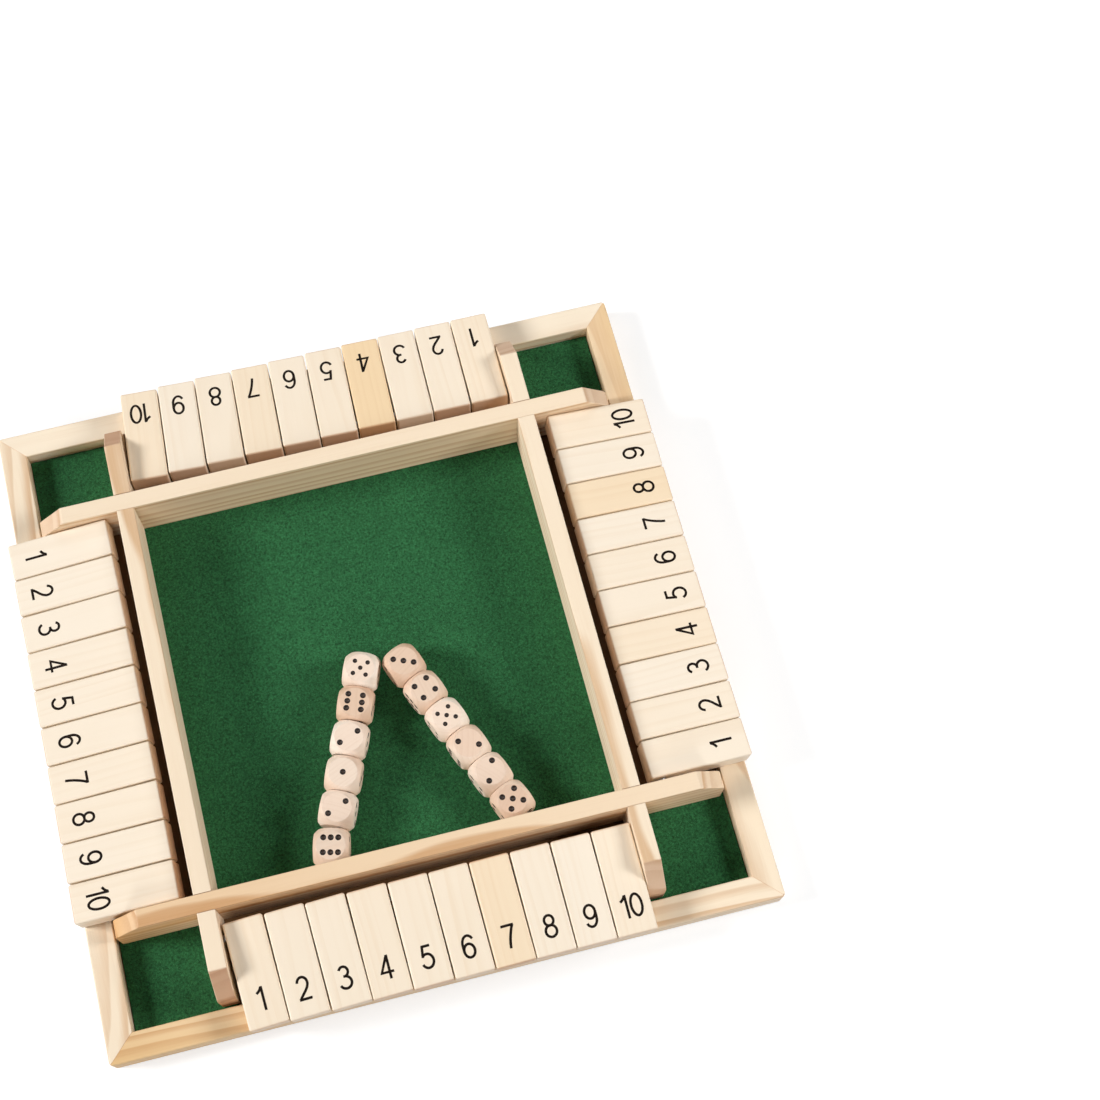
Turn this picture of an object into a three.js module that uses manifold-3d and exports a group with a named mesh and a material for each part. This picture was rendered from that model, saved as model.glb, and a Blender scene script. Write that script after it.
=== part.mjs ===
// A four-player shut the box game: a square wooden tray with ten numbered flip tiles along each
// side, four corner pockets, a felt floor and twelve dice lying in the middle.
// Millimetres, +Z up. The origin is under the middle of the tray, +X runs to the right along the
// front side and +Y to the back.
import * as THREE from "three";
import { mergeVertices } from "three/addons/utils/BufferGeometryUtils.js";
import Module from "manifold-3d";

// Outer frame: four rails, mitred and glued
const frameSide = 300;
const frameHeight = 12;
const frameRailWidth = 12;
const frameEase = 0.8; // its edges are sanded off by this much
const frameCornerRadius = 2;

// Base board, set in a rebate under the rails, and the felt on it
const boardThickness = 3.2;
const boardFitGap = 0.3;
const rebateWidth = 5;
const feltThickness = 1;
const feltEdgeGap = 0.3;

// Inner lattice: four rails, halved into one another
const traySide = 182; // clear width of the middle, and of each row of tiles
const latticeRailWidth = 8;
const latticeHeight = 32; // top of its rails over the table
const slopeRun = 12; // each rail end slopes down towards the frame
const slopeDrop = 11;
const noseRadius = 3;
const noseGap = 1.8; // from a rail's end to the frame

// Steel rods that carry the tiles
const rodDiameter = 3;
const rodHeight = 21;
const rodStandoff = 11.7; // from the lattice to the rod's middle
const rodStray = 0.6; // the most that a rod lies off that place
const rodBite = 5; // length of a rod's end inside a rail
const rodHoleGap = 0.1;

// Tiles
const tileLength = 47;
const tileThickness = 11.6;
const tileEase = 1;
const rowPlay = 8; // all the free room that one row of tiles has
const rodInset = 6; // from a tile's inner end to its rod
const boreGap = 0.4; // between a rod and a tile's bore, all round
const seatGap = 0.3; // under a tile's outer end, over the frame

// Dice
const dieSide = 15.8;
const dieBallDiameter = 20.4; // the corners are turned off to a ball of this size
const pipDiameter = 2.6;
const pipDepth = 0.6;
const pipSpread = 3.3; // from the middle of a face to its outer pips, both ways
const dieGap = 0.1; // between dice that lie side by side
const dieFloorGap = 0.3;
const dieWallGap = 0.3; // from the front die of each leg to the lattice
const legsMiddle = 2.7; // the two legs of dice start either side of here

// Every cutting tool goes past what it cuts by this much
const overrun = 1;

// Facets of round pieces
const rodSides = 12;
const ballSides = 12;
const ballRings = 8;
const pipSides = 6;
const arcSteps = 4;

// How the tiles of each row share out the row's play: the part of it that lies before the first
// tile and before the last one, at the inner and at the outer ends of the tiles. The stray share
// says how far the row's rod lies off its place, outwards.
const rows = [
  { name: "front", strayShare: -0.7, innerShares: [0.13, 0.95], outerShares: [0.38, 0.96] },
  { name: "right", strayShare: -0.3, innerShares: [0.3, 0.96], outerShares: [0.39, 0.9] },
  { name: "back", strayShare: 0.7, innerShares: [0.1, 0.94], outerShares: [0.04, 0.6] },
  { name: "left", strayShare: -0.2, innerShares: [0.03, 0.85], outerShares: [0.14, 0.8] },
];
const tilesPerRow = 10;
// No two gaps in a row are alike: each tile strays from its even place by this part of the play
const strayShares = [0, 0.01, -0.01, 0.006, 0.012, -0.006, -0.012, 0, 0.004, 0];

// The dice of each leg from back to front: the number on top, the quarter turns about the upright
// that its pips have, and how far the die is turned out of line with its leg
const legs = [
  {
    side: -1,
    leanDeg: 22,
    tops: [5, 6, 2, 1, 2, 6],
    quarters: [0, 0, 0, 0, 0, 1],
    turnsDeg: [0, 1, -3, 0, -1.5, 8],
  },
  {
    side: 1,
    leanDeg: 23.6,
    tops: [3, 4, 5, 2, 2, 5],
    quarters: [1, 0, 0, 1, 0, 0],
    turnsDeg: [-0.5, 1, -1, -0.5, -0.3, 0],
  },
];

// Where the pips of each number stand on a face, as shares of the spread
const pipShares = {
  1: [[0, 0]],
  2: [[-1, -1], [1, 1]],
  3: [[-1, -1], [0, 0], [1, 1]],
  4: [[-1, -1], [1, 1], [-1, 1], [1, -1]],
  5: [[-1, -1], [1, 1], [-1, 1], [1, -1], [0, 0]],
  6: [[-1, -1], [-1, 0], [-1, 1], [1, -1], [1, 0], [1, 1]],
};

// The turn that brings the face of each number to the top; opposite faces add up to seven
const quarterTurn = Math.PI / 2;
const faceTurns = {
  1: new THREE.Euler(0, 0, 0),
  2: new THREE.Euler(quarterTurn, 0, 0),
  3: new THREE.Euler(0, -quarterTurn, 0),
  4: new THREE.Euler(0, quarterTurn, 0),
  5: new THREE.Euler(-quarterTurn, 0, 0),
  6: new THREE.Euler(Math.PI, 0, 0),
};

// Places worked out from the sizes above
const frameInner = frameSide / 2 - frameRailWidth;
const latticeInner = traySide / 2;
const latticeOuter = latticeInner + latticeRailWidth;
const latticeEnd = frameInner - noseGap;
const feltTop = boardThickness + feltThickness;
const rodRadius = rodDiameter / 2;
const boreRadius = (rodRadius + boreGap) / Math.cos(Math.PI / rodSides);
const tileWidth = (traySide - rowPlay) / tilesPerRow;
const dieHalf = dieSide / 2;
const ballRadius = dieBallDiameter / 2;

// Materials
const wood = (color) => new THREE.MeshStandardMaterial({ color, roughness: 0.6, metalness: 0 });
const pine = () => wood("#e9cfa4");
const basswood = () => wood("#f4e3c8");
const beech = () => wood("#e8c9a8");
const plywood = () => wood("#d9b98a");
const felt = () => new THREE.MeshStandardMaterial({ color: "#1f6b3a", roughness: 1, metalness: 0 });
const steel = () => new THREE.MeshStandardMaterial({ color: "#c9ccd0", roughness: 0.3, metalness: 1 });

const wasm = await Module();
wasm.setup();

// A closed three.js geometry as a solid that can be cut and joined
function solid(geometry) {
  const bare = new THREE.BufferGeometry();
  bare.setAttribute("position", geometry.getAttribute("position"));
  bare.setIndex(geometry.index);
  const merged = mergeVertices(bare);
  return new wasm.Manifold(
    new wasm.Mesh({
      numProp: 3,
      vertProperties: new Float32Array(merged.attributes.position.array),
      triVerts: new Uint32Array(merged.index.array),
    }),
  );
}

function geometryOf(manifold) {
  const { vertProperties, triVerts } = manifold.getMesh();
  const geometry = new THREE.BufferGeometry();
  geometry.setAttribute("position", new THREE.BufferAttribute(vertProperties, 3));
  geometry.setIndex(new THREE.BufferAttribute(triVerts, 1));
  geometry.computeVertexNormals();
  return geometry;
}

// How far a row's rod lies from the middle of the tray
function rodReach({ strayShare }) {
  return latticeOuter + rodStandoff + rodStray * strayShare;
}

// A tile hangs on its rod and leans on the top edge of the frame, so it slopes down outwards
function restAngle(row) {
  const seatReach = frameSide / 2 - frameEase - rodReach(row);
  const seatDrop = rodHeight - frameHeight - seatGap;
  const toSeat = Math.hypot(seatDrop, seatReach);
  return Math.atan2(seatDrop, seatReach) - Math.asin(tileThickness / 2 / toSeat);
}

function mesh(name, geometry, material) {
  const made = new THREE.Mesh(geometry, material);
  made.name = name;
  return made;
}

// A square outline round the origin, with round corners where a radius is given
function square(outline, side, radius = 0) {
  const half = side / 2;
  const straight = half - radius;
  outline.moveTo(straight, -half);
  outline.absarc(straight, -straight, radius, -quarterTurn, 0, false);
  outline.absarc(straight, straight, radius, 0, quarterTurn, false);
  outline.absarc(-straight, straight, radius, quarterTurn, 2 * quarterTurn, false);
  outline.absarc(-straight, -straight, radius, 2 * quarterTurn, 3 * quarterTurn, false);
  outline.closePath();
  return outline;
}

// A round bar along X with its middle at the origin
function bar(radius, length) {
  return new THREE.CylinderGeometry(radius, radius, length, rodSides).rotateZ(quarterTurn);
}

// Outer frame: a square ring with its edges sanded off, rebated underneath for the board
function outerFrame() {
  const ring = square(new THREE.Shape(), frameSide - 2 * frameEase, frameCornerRadius);
  const window = new THREE.Path();
  const windowHalf = frameInner + frameEase;
  window.moveTo(-windowHalf, -windowHalf);
  window.lineTo(-windowHalf, windowHalf);
  window.lineTo(windowHalf, windowHalf);
  window.lineTo(windowHalf, -windowHalf);
  window.closePath();
  ring.holes.push(window);
  const body = new THREE.ExtrudeGeometry(ring, {
    depth: frameHeight - 2 * frameEase,
    curveSegments: arcSteps,
    bevelThickness: frameEase,
    bevelSize: frameEase,
    bevelSegments: 1,
  }).translate(0, 0, frameEase);
  const rebateSide = 2 * (frameInner + rebateWidth);
  const rebate = new THREE.BoxGeometry(rebateSide, rebateSide, boardThickness + overrun);
  rebate.translate(0, 0, (boardThickness - overrun) / 2);
  return geometryOf(solid(body).subtract(solid(rebate)));
}

function baseBoard() {
  const side = 2 * (frameInner + rebateWidth - boardFitGap);
  return new THREE.BoxGeometry(side, side, boardThickness).translate(0, 0, boardThickness / 2);
}

function feltSheet() {
  const side = 2 * (frameInner - feltEdgeGap);
  return new THREE.BoxGeometry(side, side, feltThickness).translate(0, 0, feltTop - feltThickness / 2);
}

// One lattice rail along X, standing on the felt: its ends slope down and finish in a round nose
function latticeRail() {
  const slopeTop = latticeEnd - slopeRun;
  const noseTop = latticeHeight - slopeDrop;
  const slopeAngle = Math.atan2(slopeDrop, slopeRun);
  const noseSide = noseRadius * Math.tan((quarterTurn - slopeAngle) / 2);
  const arcMiddle = { x: latticeEnd - noseRadius, z: noseTop - noseSide };
  const arcTop = quarterTurn - slopeAngle;
  const side = new THREE.Shape();
  side.moveTo(-latticeEnd, feltTop);
  side.lineTo(latticeEnd, feltTop);
  side.absarc(arcMiddle.x, arcMiddle.z, noseRadius, 0, arcTop, false);
  side.lineTo(slopeTop, latticeHeight);
  side.lineTo(-slopeTop, latticeHeight);
  side.absarc(-arcMiddle.x, arcMiddle.z, noseRadius, Math.PI - arcTop, Math.PI, false);
  side.closePath();
  const rail = new THREE.ExtrudeGeometry(side, {
    depth: latticeRailWidth,
    curveSegments: arcSteps,
    bevelEnabled: false,
  });
  return rail.rotateX(quarterTurn).translate(0, latticeRailWidth / 2, 0);
}

// Inner lattice: two rails each way, joined, with a blind hole for each end of the four rods
function innerLattice() {
  const middle = latticeInner + latticeRailWidth / 2;
  const holeRadius = (rodRadius + rodHoleGap) / Math.cos(Math.PI / rodSides);
  const holes = bar(holeRadius, traySide + 2 * (rodBite + rodHoleGap));
  let joined = null;
  for (let side = 0; side < rows.length; side += 1) {
    const rail = latticeRail().translate(0, -middle, 0).rotateZ(side * quarterTurn);
    joined = joined ? joined.add(solid(rail)) : solid(rail);
  }
  joined = joined.asOriginal();
  for (let side = 0; side < rows.length; side += 1) {
    const cutter = holes.clone().translate(0, -rodReach(rows[side]), rodHeight);
    cutter.rotateZ(side * quarterTurn);
    joined = joined.subtract(solid(cutter));
  }
  return geometryOf(joined.asOriginal());
}

function rod() {
  return bar(rodRadius, traySide + 2 * rodBite);
}

// A tile lies along Y round its rod: its outer end points to -Y. The bore keeps to the rod's line
// when the tile itself lies askew.
function tile(askew) {
  const half = { x: tileWidth / 2 - tileEase, z: tileThickness / 2 - tileEase };
  const outer = rodInset - tileLength + tileEase;
  const inner = rodInset - tileEase;
  const face = new THREE.Shape();
  face.moveTo(-half.x, outer);
  face.lineTo(half.x, outer);
  face.lineTo(half.x, inner);
  face.lineTo(-half.x, inner);
  face.closePath();
  const body = new THREE.ExtrudeGeometry(face, {
    depth: 2 * half.z,
    bevelThickness: tileEase,
    bevelSize: tileEase,
    bevelSegments: 1,
  }).translate(0, 0, -half.z);
  const bore = bar(boreRadius, tileWidth + 2 * overrun).applyMatrix4(
    new THREE.Matrix4().makeRotationFromEuler(askew).invert(),
  );
  return geometryOf(solid(body).subtract(solid(bore)));
}

// One row of tiles on its rod, along the front side
function tileRow(row) {
  const { name, innerShares, outerShares } = row;
  const group = new THREE.Group();
  const shaft = mesh(`rod_${name}`, rod(), steel());
  shaft.position.set(0, -rodReach(row), rodHeight);
  group.add(shaft);
  for (let i = 0; i < tilesPerRow; i += 1) {
    const along = i / (tilesPerRow - 1);
    const packed = (i + 1 / 2) * tileWidth - latticeInner;
    const inner = THREE.MathUtils.lerp(...innerShares, along) + strayShares[i];
    const outer = THREE.MathUtils.lerp(...outerShares, along) - strayShares[i];
    const turn = Math.asin(((outer - inner) * rowPlay) / tileLength);
    const atRod = THREE.MathUtils.lerp(inner, outer, rodInset / tileLength);
    const askew = new THREE.Euler(restAngle(row), 0, turn, "ZXY");
    const piece = mesh(`tile_${name}_${i + 1}`, tile(askew), basswood());
    piece.position.set(packed + atRod * rowPlay, -rodReach(row), rodHeight);
    piece.rotation.copy(askew);
    group.add(piece);
  }
  return group;
}

// A die round its middle: a cube with its corners turned off to a ball, and a drilled cone a pip
function die() {
  const cube = new THREE.BoxGeometry(dieSide, dieSide, dieSide);
  const ball = new THREE.SphereGeometry(ballRadius, ballSides, ballRings);
  const coneDepth = pipDepth + overrun;
  const coneRadius = (pipDiameter / 2) * (coneDepth / pipDepth);
  const cone = new THREE.ConeGeometry(coneRadius, coneDepth, pipSides).rotateX(-quarterTurn);
  cone.translate(0, 0, dieHalf - pipDepth + coneDepth / 2);
  let body = solid(cube).intersect(solid(ball));
  for (const [number, places] of Object.entries(pipShares)) {
    const toFace = new THREE.Matrix4().makeRotationFromEuler(faceTurns[number]).invert();
    for (const [x, y] of places) {
      const pip = cone.clone().translate(x * pipSpread, y * pipSpread, 0).applyMatrix4(toFace);
      body = body.subtract(solid(pip));
    }
  }
  return geometryOf(body);
}

// How far a die reaches from its middle, level with the floor, at an angle to its face
function dieReach(angle) {
  const flat = Math.sqrt(ballRadius ** 2 - dieHalf ** 2);
  return dieHalf * Math.cos(angle) + flat * Math.sin(Math.abs(angle));
}

// The dice lie in two legs that spread from the middle of the tray to its front wall
function diceLeg({ side, leanDeg, tops, quarters, turnsDeg }, shape, firstNumber) {
  const leg = new THREE.Group();
  const lean = THREE.MathUtils.degToRad(leanDeg);
  const turns = turnsDeg.map(THREE.MathUtils.degToRad);
  const distances = [0];
  for (let i = 1; i < tops.length; i += 1)
    distances.push(distances[i - 1] + dieReach(turns[i - 1]) + dieReach(turns[i]) + dieGap);
  const footY = dieReach(side * lean + turns.at(-1)) + dieWallGap - latticeInner;
  const start = {
    x: legsMiddle + side * (dieReach(lean) + dieGap / 2),
    y: footY + distances.at(-1) * Math.cos(lean),
  };
  for (let i = 0; i < tops.length; i += 1) {
    const piece = mesh(`die_${firstNumber + i}`, shape, beech());
    const upright = new THREE.Quaternion().setFromEuler(faceTurns[tops[i]]);
    const spin = side * lean + turns[i] + quarters[i] * quarterTurn;
    piece.quaternion.setFromAxisAngle(new THREE.Vector3(0, 0, 1), spin).multiply(upright);
    piece.position.set(
      start.x + side * distances[i] * Math.sin(lean),
      start.y - distances[i] * Math.cos(lean),
      feltTop + dieFloorGap + dieHalf,
    );
    leg.add(piece);
  }
  return leg;
}

const game = new THREE.Group();
game.add(mesh("base_board", baseBoard(), plywood()));
game.add(mesh("felt", feltSheet(), felt()));
game.add(mesh("outer_frame", outerFrame(), pine()));
game.add(mesh("inner_lattice", innerLattice(), pine()));
rows.forEach((row, side) => {
  const group = tileRow(row);
  group.rotation.z = side * quarterTurn;
  game.add(group);
});
const dieShape = die();
let firstNumber = 1;
for (const leg of legs) {
  game.add(diceLeg(leg, dieShape, firstNumber));
  firstNumber += leg.tops.length;
}

export default game;
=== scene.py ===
"""The dressed model of a shut the box game for four players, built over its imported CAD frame.

A square pine tray with a felt floor, four pockets, ten numbered flip tiles on a steel rod along
each side, and twelve wooden dice. Sizes are in millimetres, and MM turns them into the metres
of the frame. Each row and each rail is built along the front side and then turned into place.
"""

import logging
import math
import random
from collections.abc import Callable, Iterable, Sequence
from dataclasses import dataclass, field
from enum import Enum, IntEnum
from typing import Any, ClassVar

import bmesh
import bpy
from mathutils import Euler, Matrix, Vector

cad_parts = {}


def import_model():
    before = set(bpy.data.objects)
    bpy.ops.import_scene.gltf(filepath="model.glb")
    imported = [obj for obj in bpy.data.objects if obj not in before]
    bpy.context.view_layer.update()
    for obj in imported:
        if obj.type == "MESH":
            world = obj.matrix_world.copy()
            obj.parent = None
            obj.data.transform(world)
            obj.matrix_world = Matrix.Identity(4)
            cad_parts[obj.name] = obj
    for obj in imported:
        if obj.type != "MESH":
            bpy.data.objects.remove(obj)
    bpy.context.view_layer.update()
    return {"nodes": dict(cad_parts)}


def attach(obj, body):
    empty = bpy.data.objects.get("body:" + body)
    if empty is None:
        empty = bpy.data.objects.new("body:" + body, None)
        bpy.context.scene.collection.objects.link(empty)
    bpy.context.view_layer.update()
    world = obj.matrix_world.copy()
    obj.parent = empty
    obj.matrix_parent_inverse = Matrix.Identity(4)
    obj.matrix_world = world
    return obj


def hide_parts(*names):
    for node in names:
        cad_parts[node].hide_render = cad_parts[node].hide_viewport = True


LOG = logging.getLogger("shut_the_box")
MM = 0.001
TOUCH = 0.01  # what lies this close counts as touching, in millimetres
PAST = 5  # how far a cutter reaches past what it cuts, in millimetres
CREASE = math.radians(40)  # faces that meet more sharply than this meet at a crease
TILES_PER_ROW = 10
FLAT_WEIGHT = 90  # over 50, large faces rule the shading of the roundings beside them
WHITE = "ffffff"

Triple = tuple[float, float, float]


class Side(Enum):
    """A side of the tray, by the quarter turns that bring the front side to it."""

    FRONT = 0
    RIGHT = 1
    BACK = 2
    LEFT = 3

    @property
    def label(self) -> str:
        """The side's name as the frame's nodes have it."""
        return self.name.lower()

    @property
    def turn(self) -> Matrix:
        """The turn about the upright from the front side to this one."""
        return Matrix.Rotation(self.value * math.pi / 2, 4, "Z")


class DieFinish(IntEnum):
    """The finishes of a die, by the index that its faces have."""

    WOOD = 0
    PAINT = 1
    # The paler paint in the bottom middle of each pip
    THIN_PAINT = 2


class Channel(Enum):
    """The attributes that carry a piece's own grain to its finish."""

    GRAIN = "grain"
    TONE = "tone"
    CUT_ACROSS = "cut_across"


@dataclass(frozen=True)
class TraySizes:
    """The sizes that pieces share, in millimetres, as the frame has them."""

    frame_side: float = 300
    frame_height: float = 12
    frame_rail_width: float = 12
    frame_ease: float = 0.8
    frame_corner_radius: float = 2
    board_thickness: float = 3.2
    rebate_width: float = 5
    felt_thickness: float = 1
    felt_edge_gap: float = 0.3
    tray_side: float = 182
    lattice_rail_width: float = 8
    lattice_height: float = 32
    slope_run: float = 12
    slope_drop: float = 11
    nose_radius: float = 3
    nose_gap: float = 1.8
    rod_diameter: float = 3
    rod_height: float = 21
    rod_standoff: float = 11.7
    rod_stray: float = 0.6
    rod_bite: float = 5
    tile_length: float = 47
    tile_thickness: float = 11.6
    row_play: float = 8
    rod_inset: float = 6
    bore_gap: float = 0.4
    seat_gap: float = 0.3
    die_side: float = 15.8
    die_ball_diameter: float = 20.4
    die_gap: float = 0.1
    die_floor_gap: float = 0.3
    die_wall_gap: float = 0.3
    legs_middle: float = 2.7

    @property
    def frame_inner(self) -> float:
        """From the middle of the tray to the inside of its outer frame."""
        return self.frame_side / 2 - self.frame_rail_width

    @property
    def lattice_inner(self) -> float:
        """From the middle of the tray to the inside of its lattice."""
        return self.tray_side / 2

    @property
    def lattice_end(self) -> float:
        """From the middle of the tray to the nose of a lattice rail."""
        return self.frame_inner - self.nose_gap

    @property
    def felt_top(self) -> float:
        """The felt's height over the table."""
        return self.board_thickness + self.felt_thickness

    @property
    def tile_width(self) -> float:
        """The width of a tile, from what its row leaves it."""
        return (self.tray_side - self.row_play) / TILES_PER_ROW


def linear(code: str) -> tuple[float, float, float, float]:
    """Turns an sRGB hex colour into the linear colour that a shader takes.

    Args:
        code: six hex digits, such as "e8c9a8".

    Returns:
        Linear red, green, blue and an alpha of 1.
    """
    shades = [int(code[i : i + 2], 16) / 255 for i in (0, 2, 4)]
    bright = [c / 12.92 if c <= 0.04045 else ((c + 0.055) / 1.055) ** 2.4 for c in shades]
    return bright[0], bright[1], bright[2], 1.0


def add_node(
    tree: bpy.types.NodeTree,
    kind: str,
    inputs: dict[int | str, Any] | None = None,
    **settings: Any,
) -> bpy.types.Node:
    """Adds a node with its settings and links.

    Args:
        tree: the material's or world's node tree.
        kind: the node's Blender type, less its first word, ShaderNode.
        inputs: what goes into each socket: a value to set, an output socket to link, or a
            node, whose first output that is in use is linked.
        **settings: the node's own properties.

    Returns:
        The new node.
    """
    node = tree.nodes.new(f"ShaderNode{kind}")
    for name, value in settings.items():
        setattr(node, name, value)
    for socket, value in (inputs or {}).items():
        if isinstance(value, bpy.types.Node):
            value = next(output for output in value.outputs if output.enabled)
        if isinstance(value, bpy.types.NodeSocket):
            tree.links.new(value, node.inputs[socket])
        else:
            node.inputs[socket].default_value = value
    return node


@dataclass(frozen=True)
class Finish:
    """A node material, named for the real one that it shows."""

    name: str

    def make(self) -> bpy.types.Material:
        """Builds the material."""
        material = bpy.data.materials.new(self.name)
        material.use_nodes = True
        tree = material.node_tree
        tree.nodes.clear()
        surface = self._surface(tree)
        add_node(tree, "OutputMaterial", {"Surface": surface})
        return material

    def _surface(self, tree: bpy.types.NodeTree) -> bpy.types.Node:
        """Draws up the surface.

        Args:
            tree: the material's node tree, empty so far.

        Returns:
            The node that shades the surface.
        """
        raise NotImplementedError


@dataclass(frozen=True)
class SolidWood(Finish):
    """Planed and sanded solid wood: growth rings round a pith that runs beside the piece.

    The grain attribute holds a point's place along the grain and from the pith, in metres, so
    the rings run through the piece and show as lines, arcs or end grain, as each face cuts them.
    """

    pale: str  # early wood
    late: str  # the darker edge of each ring
    tan: str  # the colour of the darkest boards
    end: str  # wood cut across the grain, which drinks light
    ring_spacing: float
    ring_strength: float
    streak_strength: float
    fibre_strength: float
    blotch_strength: float
    roughness: float
    relief: float = 0.06  # height of the raised grain, in millimetres
    ring_stray: float = 4  # the rings wander by up to half of this, in millimetres
    # How many features a metre holds, along the grain and both ways across it
    ring_wander: Triple = (9, 26, 26)
    fibres: Triple = (34, 1400, 1400)  # 0.7 by 30 mm, coarser than real ones so that they show
    streaks: Triple = (8, 210, 210)  # 5 by 120 mm
    blotches: Triple = (22, 60, 60)  # 17 by 45 mm

    def _surface(self, tree: bpy.types.NodeTree) -> bpy.types.Node:
        """Lays fibres, streaks and blotches over the rings, and darkens the cut ends."""
        grain = add_node(tree, "Attribute", attribute_name=Channel.GRAIN.value).outputs["Vector"]
        tone = add_node(tree, "Attribute", attribute_name=Channel.TONE.value).outputs["Fac"]
        across = add_node(tree, "Attribute", attribute_name=Channel.CUT_ACROSS.value).outputs["Fac"]
        rings = self._rings(tree, grain)
        fibres = self._drawn_noise(tree, grain, self.fibres, 3)
        streaks = self._drawn_noise(tree, grain, self.streaks, 2)
        blotches = self._drawn_noise(tree, grain, self.blotches, 2)
        total = add_node(tree, "Math", {0: rings, 1: self.ring_strength}, operation="MULTIPLY")
        for part, strength in (
            (fibres, self.fibre_strength),
            (streaks, self.streak_strength),
            (blotches, self.blotch_strength),
        ):
            added = {0: part, 1: strength, 2: total}
            total = add_node(tree, "Math", added, operation="MULTIPLY_ADD", use_clamp=True)
        # Cut across, the pores darken early and late wood alike, so the rings show less
        evened = add_node(tree, "MapRange", {"Value": across, "To Min": 1.0, "To Max": 0.4})
        figure = add_node(tree, "Math", {0: total, 1: evened}, operation="MULTIPLY")
        bare = {0: figure, 6: linear(self.pale), 7: linear(self.late)}
        colour = add_node(tree, "Mix", bare, data_type="RGBA")
        for share, shade in ((tone, self.tan), (across, self.end)):
            stained = {0: share, 6: colour, 7: linear(shade)}
            colour = add_node(tree, "Mix", stained, data_type="RGBA", blend_type="MULTIPLY")
        height = add_node(tree, "Math", {0: rings, 1: fibres}, operation="ADD")
        raised = {"Strength": 0.35, "Distance": self.relief * MM, "Height": height}
        return add_node(
            tree,
            "BsdfPrincipled",
            {
                "Base Color": colour,
                "Roughness": self.roughness,
                "IOR": 1.5,
                "Normal": add_node(tree, "Bump", raised),
            },
        )

    def _rings(
        self, tree: bpy.types.NodeTree, grain: bpy.types.NodeSocket
    ) -> bpy.types.Node:
        """Draws growth rings: pale wood that darkens slowly to the edge of each ring.

        Args:
            tree: the material's node tree.
            grain: the place along the grain and from the pith.

        Returns:
            A node that gives 0 in early wood and up to 1 in late wood.
        """
        slow = add_node(tree, "VectorMath", {0: grain, 1: self.ring_wander}, operation="MULTIPLY")
        stray = add_node(tree, "TexNoise", {"Vector": slow, "Scale": 1.0, "Detail": 2.0})
        evenly = {0: stray.outputs["Color"], 1: (0.5, 0.5, 0.5)}
        centred = add_node(tree, "VectorMath", evenly, operation="SUBTRACT")
        reach = (self.ring_stray * MM,) * 3
        moved = add_node(
            tree, "VectorMath", {0: centred, 1: reach, 2: grain}, operation="MULTIPLY_ADD"
        )
        flat = add_node(tree, "VectorMath", {0: moved, 1: (0, 1, 1)}, operation="MULTIPLY")
        radius = add_node(tree, "VectorMath", {0: flat}, operation="LENGTH")
        count = add_node(
            tree, "Math", {0: radius, 1: self.ring_spacing * MM}, operation="DIVIDE"
        )
        # Years differ, so the rings lie closer in some places than in others
        spread = {"W": count, "Scale": 0.45, "Detail": 1.0}
        years = add_node(tree, "TexNoise", spread, noise_dimensions="1D")
        uneven = add_node(tree, "Math", {0: years, 1: 1.6, 2: count}, operation="MULTIPLY_ADD")
        share = add_node(tree, "Math", {0: uneven}, operation="FRACT")
        darkening = {"Value": share, "From Min": 0.25, "From Max": 0.9}
        rising = add_node(tree, "MapRange", darkening, interpolation_type="SMOOTHSTEP")
        # Late wood ends sharply, where the next year's early wood begins
        ending = {"Value": share, "From Min": 0.9, "From Max": 1.0, "To Min": 1.0, "To Max": 0.0}
        falling = add_node(tree, "MapRange", ending, interpolation_type="SMOOTHSTEP")
        ring = add_node(tree, "Math", {0: rising, 1: falling}, operation="MULTIPLY")
        year = add_node(tree, "Math", {0: uneven}, operation="FLOOR")
        each = add_node(tree, "TexWhiteNoise", {"W": year}, noise_dimensions="1D")
        depth = add_node(tree, "MapRange", {"Value": each, "To Min": 0.35, "To Max": 1.0})
        return add_node(tree, "Math", {0: ring, 1: depth}, operation="MULTIPLY")

    @staticmethod
    def _drawn_noise(
        tree: bpy.types.NodeTree, grain: bpy.types.NodeSocket, per_metre: Triple, detail: float
    ) -> bpy.types.Node:
        """Draws noise that is drawn out along the grain.

        Args:
            tree: the material's node tree.
            grain: the place along the grain and from the pith.
            per_metre: how many features a metre holds, along the grain and across it.
            detail: how many finer layers it has.

        Returns:
            A node that gives about -0.5 to 0.5.
        """
        drawn = add_node(tree, "VectorMath", {0: grain, 1: per_metre}, operation="MULTIPLY")
        noise = add_node(tree, "TexNoise", {"Vector": drawn, "Scale": 1.0, "Detail": detail})
        return add_node(tree, "Math", {0: noise, 1: 0.5}, operation="SUBTRACT")


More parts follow.
